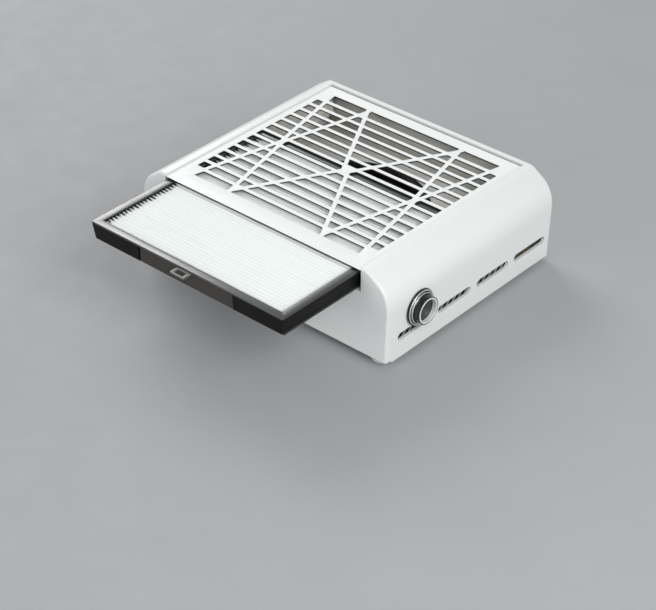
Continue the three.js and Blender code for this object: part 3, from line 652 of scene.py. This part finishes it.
def filleted(line, radius, steps=4):
    """Rounds every corner of a closed line."""
    out = []
    for i, point in enumerate(line):
        a, b, c = Vector(line[i - 1]), Vector(point), Vector(line[(i + 1) % len(line)])
        reach = min(radius, (a - b).length * 0.4, (c - b).length * 0.4)
        start = b + (a - b).normalized() * reach
        end = b + (c - b).normalized() * reach
        for k in range(steps + 1):
            t = k / steps
            out.append(tuple(start.lerp(b, t).lerp(b.lerp(end, t), t)))
    return out


def plate_from(name, outlines, z0, z1, edge):
    """A flat plate with holes and rounded edges, made from a filled curve."""
    curve = bpy.data.curves.new(name, "CURVE")
    curve.dimensions = "2D"
    curve.fill_mode = "BOTH"
    curve.extrude = ((z1 - z0) / 2 - edge) * MM
    curve.bevel_depth = edge * MM
    curve.bevel_resolution = 2
    curve.offset = -edge * MM
    for line in outlines:
        spline = curve.splines.new("POLY")
        spline.points.add(len(line) - 1)
        for target, (x, y) in zip(spline.points, line):
            target.co = (x * MM, y * MM, 0, 1)
        spline.use_cyclic_u = True
    holder = bpy.data.objects.new("drawing", curve)
    bpy.context.scene.collection.objects.link(holder)
    bpy.context.view_layer.update()
    graph = bpy.context.evaluated_depsgraph_get()
    mesh = bpy.data.meshes.new_from_object(holder.evaluated_get(graph))
    bpy.data.objects.remove(holder)
    solid = bmesh.new()
    solid.from_mesh(mesh)
    bmesh.ops.remove_doubles(solid, verts=solid.verts, dist=2 * MERGE)
    bmesh.ops.recalc_face_normals(solid, faces=solid.faces)
    bmesh.ops.translate(solid, verts=solid.verts, vec=(0, 0, (z0 + z1) / 2 * MM))
    solid.to_mesh(mesh)
    solid.free()
    return mesh


GRILLE_WHITE_LAYER = 0.75  # white top layer; the rest of the thickness is painted shade, dark for the slots' shaded walls
SLOT_ROUND = 1.1


def make_grille():
    """A white top layer over a dark layer with the same slots; the dark layer is painted shade on the
    slots' walls.
    """
    outlines = [straightened(line) for line in face_loops("top_grille", PANEL_HIGH[2])]
    outlines = [filleted(line, SLOT_ROUND) for line in outlines if len(line) > 2]
    outlines.sort(key=lambda line: max(y for _, y in line) - min(y for _, y in line))
    slots, edge = outlines[:-1], outlines[-1]
    shade_layer_top = PANEL_HIGH[2] - GRILLE_WHITE_LAYER
    mesh = plate_from("grille_panel", [*slots, edge], shade_layer_top, PANEL_HIGH[2], 0.3)
    skin = link("grille_panel", mesh, GRILLE_WHITE, "housing", 40)
    rear = PANEL_HIGH[1] + REAR_GROOVE - 0.2
    under = rectangle(PANEL_LOW[0], PANEL_LOW[1] + 0.4, PANEL_HIGH[0], rear, 0.5)
    # the dark lower layer is painted shade, standing for the shaded slot walls
    mesh = plate_from("grille_painted_shade_layer", [*slots, under], PANEL_LOW[2], shade_layer_top - 0.01, 0.06)
    shade_layer = link("grille_painted_shade_layer", mesh, SLOT_WALL_SHADE, "housing", 40)
    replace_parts(skin, "top_grille")
    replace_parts(shade_layer, "top_grille")


# ---------------------------------------------------------------- filter cartridge

FRAME_BAR = 6.5
LIP = 1.6  # thickness of the flat rim on top of the walls
WALL_DRAFT = 2.4  # how far the walls lean in towards the bottom
GRIP_HALF = 48.0
GRIP_RECESS = 2.2


def rectangle(x0, y0, x1, y1, radius, steps=5):
    return filleted([(x0, y0), (x1, y0), (x1, y1), (x0, y1)], radius, steps)


def make_filter_frame():
    x0, y0, _ = FRAME_LOW
    x1, y1, top = FRAME_HIGH
    outer = rectangle(x0, y0, x1, y1, 1.6)
    inner = rectangle(x0 + FRAME_BAR, y0 + FRAME_BAR, x1 - FRAME_BAR, y1 - FRAME_BAR, 0.8)
    lip_mesh = plate_from("filter_lip", [outer, inner], top - LIP, top, 0.35)
    lip = link("filter_lip", lip_mesh, LIP_GREY, "filter_cartridge", 40)

    wall_top = top - LIP + 0.02
    base = FRAME_LOW[2]
    sections = []
    for z, inset in ((base, WALL_DRAFT), (wall_top, 0.25)):
        low, high = (x0 + inset, y0 + inset / 2), (x1 - inset, y1 - inset / 2)
        sections.append([(*low, z), (high[0], low[1], z), (*high, z), (low[0], high[1], z)])
    body = lofted("filter_walls", sections)
    below, above = base - 2, wall_top + 2
    window = block(
        "cutter",
        (x0 + FRAME_BAR, y0 + FRAME_BAR, below),
        (x1 - FRAME_BAR, y1 - FRAME_BAR, above),
    )
    recess = block("cutter", (-GRIP_HALF, y0 - 2, below), (GRIP_HALF, y0 + GRIP_RECESS, above))
    walls_mesh = carve(body, [window, recess])
    walls = link("filter_walls", walls_mesh, WALL_BLACK, "filter_cartridge", 30)
    soften(walls, 0.6)
    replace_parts(lip, "filter_frame")
    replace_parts(walls, "filter_frame")

    half = GRIP_HALF - 0.4
    near = y0 + GRIP_RECESS - 0.3
    panel = block("grip_panel", (-half, near, base + 0.4), (half, near + 0.7, wall_top - 0.2))
    grip = link("grip_panel", panel, GRIP_BROWN, "filter_cartridge", 30)
    soften(grip, 0.25)


def pleat_height(share, wobble):
    """Height of the paper over one fold, 0 to 1, with a rounded crest."""
    wave = 1 - abs(2 * share - 1)
    return wave ** (0.8 + 0.15 * wobble)


def make_pleats():
    """The folded sheet of paper, with folds that are not quite alike."""
    x0, y0, _ = MEDIA_LOW
    x1, y1, _ = MEDIA_HIGH
    count = round((y1 - y0) / PLEAT_PITCH)
    pitch = (y1 - y0) / count
    across, per_fold = 44, 8  # faces across the sheet, and from fold to fold
    folds = []
    for i in range(count):
        folds.append((random.uniform(-0.22, 0.22), random.uniform(0, 1), random.uniform(0, 50)))
    points = []
    rows = count * per_fold + 1
    for r in range(rows):
        fold = min(r // per_fold, count - 1)
        share = r / per_fold - fold
        lean, wobble, seed = folds[fold]
        for c in range(across + 1):
            x = x0 + (x1 - x0) * c / across
            drift = noise.noise(Vector((x * 0.03, seed, 0))) * 0.28
            inside = math.sin(math.pi * share)
            y = y0 + (fold + share) * pitch + (lean + drift) * inside
            sag = 0.35 * noise.noise(Vector((x * 0.05, fold * 0.6, 9.0)))
            rise = PLEAT_DEPTH - PAPER_THICK + min(0.2, sag)
            z = CREST - PLEAT_DEPTH + rise * pleat_height(share, wobble)
            points.append((x, y, z))
    faces = []
    width = across + 1
    for r in range(rows - 1):
        for c in range(across):
            near, far = r * width + c, (r + 1) * width + c
            faces.append((near, near + 1, far + 1, far))
    sheet = mesh_from("pleated_paper", points, faces)
    made = link("pleated_paper", sheet, PAPER, "filter_cartridge", 60)
    thick = made.modifiers.new("thickness", "SOLIDIFY")
    thick.thickness = PAPER_THICK * MM
    thick.offset = -1
    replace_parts(made, "filter_media")
    return pitch, count


GLUE_INSET = 0.6  # from the paper's edge to the end of a glue line
GLUE_SIDES = 8


def make_glue(pitch, count):
    """Fine glue lines that run across the folds and hold them apart."""
    x0, y0, _ = MEDIA_LOW
    x1, y1, _ = MEDIA_HIGH
    steps = count * 6
    for number, share in enumerate((0.25, 0.5, 0.75), 1):
        middle = x0 + (x1 - x0) * share
        sections = []
        for i in range(steps + 1):
            y = y0 + GLUE_INSET + (y1 - y0 - 2 * GLUE_INSET) * i / steps
            fold = abs(((y - y0) / pitch) % 1 - 0.5) * 2
            z = CREST - 0.8 - 1.6 * fold
            x = middle + noise.noise(Vector((y * 0.2, number, 3.0))) * 0.25
            half = 0.2 + 0.12 * noise.noise(Vector((y * 0.9, number, 7.0)))
            ring = []
            for k in range(GLUE_SIDES):
                angle = 2 * math.pi * k / GLUE_SIDES
                ring.append((x + half * math.cos(angle), y, z + 0.25 * math.sin(angle)))
            sections.append(ring)
        mesh = lofted(f"glue_line_{number}", sections)
        link(f"glue_line_{number}", mesh, GLUE, "filter_cartridge", 60)


SEAL_FOOT = CREST - 4.0  # beads along the side bars stand from here
BEAD_TOP = CREST - 1.35
RIGHT_SEAL_TOP = CREST - 1.2


def make_pleat_ends(pitch, count):
    """Painted shade along the left bar: a dark strip for the shaded fold ends, running to a point in
    every fold, over a pale bead.

    The right bar has a plain dark bead.
    """
    _, y0, _ = MEDIA_LOW
    _, y1, _ = MEDIA_HIGH
    wall = FRAME_LOW[0] + FRAME_BAR - 0.2
    line = [(wall, y1), (wall, y0)]
    for i in range(count):
        y = y0 + i * pitch
        root = wall + random.uniform(0.22, 0.32)
        line += [(root, y + pitch * 0.06), (root, y + pitch * 0.94)]
        if i < count - 1:
            line.append((wall + random.uniform(2.4, 5.2), y + pitch * random.uniform(0.96, 1.04)))
    line.append((wall + 1.2, y1))
    # painted shade: dark teeth standing for the shaded ends of the folds
    sections = [[(x, y, z) for x, y in line] for z in (CREST - 1.3, CREST - 0.3)]
    mesh = lofted("pleat_shade_left", sections)
    link("pleat_shade_left", mesh, WALL_BLACK, "filter_cartridge", 30)
    mesh = block("pleat_bead_left", (wall, y0, SEAL_FOOT), (wall + 0.5, y1, BEAD_TOP))
    link("pleat_bead_left", mesh, GLUE, "filter_cartridge", 30)

    wall = FRAME_HIGH[0] - FRAME_BAR + 0.2
    mesh = block("pleat_seal_right", (wall - 0.8, y0, SEAL_FOOT), (wall, y1, RIGHT_SEAL_TOP))
    made = link("pleat_seal_right", mesh, WALL_BLACK, "filter_cartridge", 30)
    soften(made, 0.3)


def make_pull_loop():
    x0, y0, z0 = TAB_LOW
    x1, y1, z1 = TAB_HIGH
    outer = rectangle(x0, y0, x1, y1, 1.4, 6)
    inner = rectangle(x0 + 2.3, y0 + 1.5, x1 - 2.3, FRAME_LOW[1] - 0.6, 0.9, 6)
    mesh = plate_from("pull_loop", [outer, inner], z0, z1, 0.45)
    made = link("pull_loop", mesh, LOOP_GREY, "filter_cartridge", 40)
    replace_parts(made, "pull_tab")


# ---------------------------------------------------------------- knob

def on_knob(u, v, height):
    """Turned round the knob's axis: height runs along +X."""
    return (height, KNOB_CENTRE[1] / MM + u, KNOB_CENTRE[2] / MM + v)


BUSH = 6.6  # radius of the hole through the bezel
SPLINE = 3.3  # radius of the hole through the knob's core


def make_knob():
    """Rings on the wall, and the knob: black barrel, plated rim and sunk face."""
    face = BEZEL_LOW[0]
    bezel = (BEZEL_HIGH[1] - BEZEL_LOW[1]) / 2
    foot = (BARREL_HIGH[1] - BARREL_LOW[1]) / 2
    base = BARREL_LOW[0]
    radius = (RIM_HIGH[1] - RIM_LOW[1]) / 2
    front = RIM_HIGH[0]
    bore = radius - 2.0
    floor = RIM_LOW[0] - 0.3
    pieces = [
        ("knob_bezel_round", "knob_bezel", GLOSS_BLACK, "housing", "gloss_black",
         [(BUSH, face), (bezel, face), (bezel, face + 0.9), (bezel - 0.7, face + 1.4),
          (BUSH, face + 1.4)], 0.3),
        ("bezel_ring_round", "bezel_trim", CHROME, "housing", "chrome_trim",
         [(foot + 1.65, face + 1.5), (bezel - 0.65, face + 1.5), (bezel - 0.85, face + 2.3),
          (foot + 1.85, face + 2.3)], 0.3),
        ("knob_skirt_round", "knob_skirt_ring", CHROME, "speed_knob", "chrome_trim",
         [(foot + 0.3, base + 0.1), (foot + 1.1, base + 0.1), (foot + 1.05, base + 1.5),
          (foot + 0.3, base + 1.5)], 0.2),
        ("knob_barrel_round", "knob_barrel", GLOSS_BLACK, "speed_knob", "gloss_black",
         [(SPLINE, base), (foot, base), (foot, base + 1.5), (radius, base + 1.8),
          (radius, front - 0.1), (radius - 0.65, front - 0.1), (radius - 0.65, front - 1.2),
          (bore + 0.8, front - 1.2), (bore + 0.8, floor - 0.8), (SPLINE, floor - 0.8)], 0.2),
        ("knob_rim_round", "knob_rim", RIM_PLATE, "speed_knob", "chrome_trim",
         [(bore, floor + 0.3), (bore + 0.5, floor + 0.3), (bore + 0.5, front - 0.9),
          (radius - 0.75, front - 0.9), (radius - 0.75, front), (bore, front)], 0.25),
        ("knob_face_round", "knob_face", SPUN, "speed_knob", "spun_metal",
         [(0, floor - 0.5), (bore + 0.4, floor - 0.5), (bore + 0.4, floor), (0, floor)], 0.1),
    ]
    for name, stands_for, material, body, slot_name, profile, edge in pieces:
        closed = profile if profile[0][0] == 0 else profile + [profile[0]]
        mesh = turned(name, rounded(closed, edge), on_knob)
        made = link(name, mesh, material, body, 40)
        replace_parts(made, stands_for)


# ---------------------------------------------------------------- feet, fan inlet, socket

CORNERS = ("front_left", "front_right", "rear_left", "rear_right")
FOOT_FLAT = 3.2  # radius of the flat under a foot
INLET_WIDTH = 8  # from the inlet ring's bore to its edge
SOCKET_THREAD, SOCKET_FLANGE, SOCKET_MOUTH, SOCKET_BORE = 5.6, 7.6, 4.2, 3.0  # radii


def make_feet():
    """Soft domes, a quarter ellipse in section."""
    steps = 12
    for corner in CORNERS:
        low, high = span(f"foot_{corner}")
        centre = [(a + b) / 2 for a, b in zip(low, high)]
        radius = (high[0] - low[0]) / 2
        drop = high[2] - low[2]
        profile = [(0, low[2]), (FOOT_FLAT, low[2])]
        for i in range(1, steps + 1):
            angle = i / steps * math.pi / 2
            out = FOOT_FLAT + (radius - FOOT_FLAT) * math.sin(angle)
            profile.append((out, high[2] - drop * math.cos(angle)))
        profile.append((0, high[2]))

        def upright(u, v, height):
            return (centre[0] + u, centre[1] + v, height)

        mesh = turned(f"foot_pad_{corner}", profile, upright, 48)
        made = link(f"foot_pad_{corner}", mesh, SOFT_WHITE, "housing", 40)
        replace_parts(made, f"foot_{corner}")


def make_inlet_ring():
    low, high = span("inlet_ring")
    outer = high[0]
    inner = outer - INLET_WIDTH
    base, top = low[2], high[2]
    profile = [
        (inner, base), (inner + 2.2, base), (inner + 2.2, top - 2.1), (outer, top - 2.1),
        (outer, top - 0.8), (outer - 4, top), (inner + 1.2, top - 1.8), (inner, base),
    ]
    mesh = turned("inlet_ring_round", rounded(profile, 0.8), lambda u, v, h: (u, v, h), 128)
    made = link("inlet_ring_round", mesh, WALL_BLACK, "housing", 40)
    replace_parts(made, "inlet_ring")


def make_socket():
    """The socket's body, turned round an axis along Y."""
    low, high = span("power_inlet")
    x, z = (low[0] + high[0]) / 2, (low[2] + high[2]) / 2
    rear = high[1]
    flange, bottom = rear - 1.9, rear - 11
    profile = [
        (0, low[1]), (SOCKET_THREAD, low[1]), (SOCKET_THREAD, flange), (SOCKET_FLANGE, flange),
        (SOCKET_FLANGE, rear), (SOCKET_MOUTH, rear), (SOCKET_BORE, rear - 1.0), (SOCKET_BORE, bottom),
        (0, bottom),
    ]
    mesh = turned("power_socket_round", rounded(profile, 0.4), lambda u, v, h: (x + u, h, z + v), 64)
    made = link("power_socket_round", mesh, BLACK, "housing", 40)
    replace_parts(made, "power_inlet")


# ---------------------------------------------------------------- light and floor

def add_area(name, location, target, size, power, color):
    data = bpy.data.lights.new(name, "AREA")
    data.shape = "RECTANGLE"
    data.size, data.size_y = size
    data.energy = power
    data.color = color
    lamp = bpy.data.objects.new(name, data)
    lamp.location = location
    lamp.rotation_euler = (Vector(location) - Vector(target)).to_track_quat("Z", "Y").to_euler()
    bpy.context.scene.collection.objects.link(lamp)


FLOOR_REACH = 6.0
SKY_COLOR = (0.94, 0.98, 1.0, 1)
SKY_STRENGTH = 0.42
LIGHTS = [  # name, place, aim, size, watts, colour
    ("key", (-1.66, 0.64, 1.15), (0, 0, 0.05), (1.2, 1.0), 21, (1, 0.995, 0.98)),
    ("side", (1.45, -0.5, 1.15), (0, 0, 0.05), (1.4, 1.1), 22, (0.985, 1.0, 0.99)),
    ("front", (-0.5, -1.7, 0.7), (0, 0, 0.04), (1.2, 0.8), 6, (1, 1, 1)),
]


def add_studio():
    level = cad_box[0][2]
    mesh = bpy.data.meshes.new("floor")
    around = [(-1, -1), (1, -1), (1, 1), (-1, 1)]
    points = [(x * FLOOR_REACH, y * FLOOR_REACH, level) for x, y in around]
    mesh.from_pydata(points, [], [(0, 1, 2, 3)])
    floor = bpy.data.objects.new("floor", mesh)
    bpy.context.scene.collection.objects.link(floor)
    mesh.materials.append(plastic("floor_paint", (0.40, 0.40, 0.41), 0.8, mottle=0.02))

    world = bpy.data.worlds.new("studio")
    bpy.context.scene.world = world
    world.use_nodes = True
    sky = world.node_tree.nodes["Background"]
    sky.inputs["Color"].default_value = SKY_COLOR
    sky.inputs["Strength"].default_value = SKY_STRENGTH
    for light in LIGHTS:
        add_area(*light)


# ---------------------------------------------------------------- everything

add_camera()
make_housing()
make_grille()
make_filter_frame()
PLEATS = make_pleats()
make_glue(*PLEATS)
make_pleat_ends(*PLEATS)
make_pull_loop()
make_knob()
make_feet()
make_inlet_ring()
make_socket()

KEPT = {
    # the base cover's material holds painted shade inside
    "base_cover": (WHITE_SHADED_INSIDE, 0.4),
    "fan_deck": (DECK_GREY, 0.3),
    "filter_back_wall": (DECK_GREY, 0.3),
    "filter_rail_left": (DECK_GREY, 0.2),
    "filter_rail_right": (DECK_GREY, 0.2),
    "damping_pad": (FELT, 0.6),
    # the louver strips' material holds painted shade
    "louver_strip_left": (FIN_PAINTED_SHADE, 0.25),
    "louver_strip_right": (FIN_PAINTED_SHADE, 0.25),
    "filter_seal": (FOAM, 0.2),
    "impeller": (BLACK, 0),
    "motor_plate": (STEEL, 0),
    "motor_bearing": (BRASS, 0),
    "motor_stator": (COPPER, 0),
    "rotor_can": (STEEL, 0),
    "motor_shaft": (STEEL, 0),
    "hub_nut": (BRASS, 0.2),
    "speed_potentiometer": (STEEL, 0),
    "potentiometer_nut": (BRASS, 0.2),
    "potentiometer_shaft": (STEEL, 0),
    "control_board": (BOARD, 0.1),
    "board_capacitor": (BLACK, 0),
    "board_connector": (SOFT_WHITE, 0.2),
    "driver_chip": (BLACK, 0.2),
    "inlet_pin": (STEEL, 0),
    "inlet_nut": (STEEL, 0.2),
    "power_lead": (BLACK, 0),
    "motor_lead": (BLACK, 0),
}
for corner in CORNERS:
    KEPT[f"deck_post_{corner}"] = (DECK_GREY, 0)
    KEPT[f"housing_screw_{corner}"] = (STEEL, 0)
    KEPT[f"deck_screw_{corner}"] = (STEEL, 0)
for number in (1, 2, 3):
    KEPT[f"motor_screw_{number}"] = (STEEL, 0)
for name, (material, edge) in KEPT.items():
    keep(name, material, edge)

add_studio()
bpy.context.scene.view_settings.view_transform = "Standard"
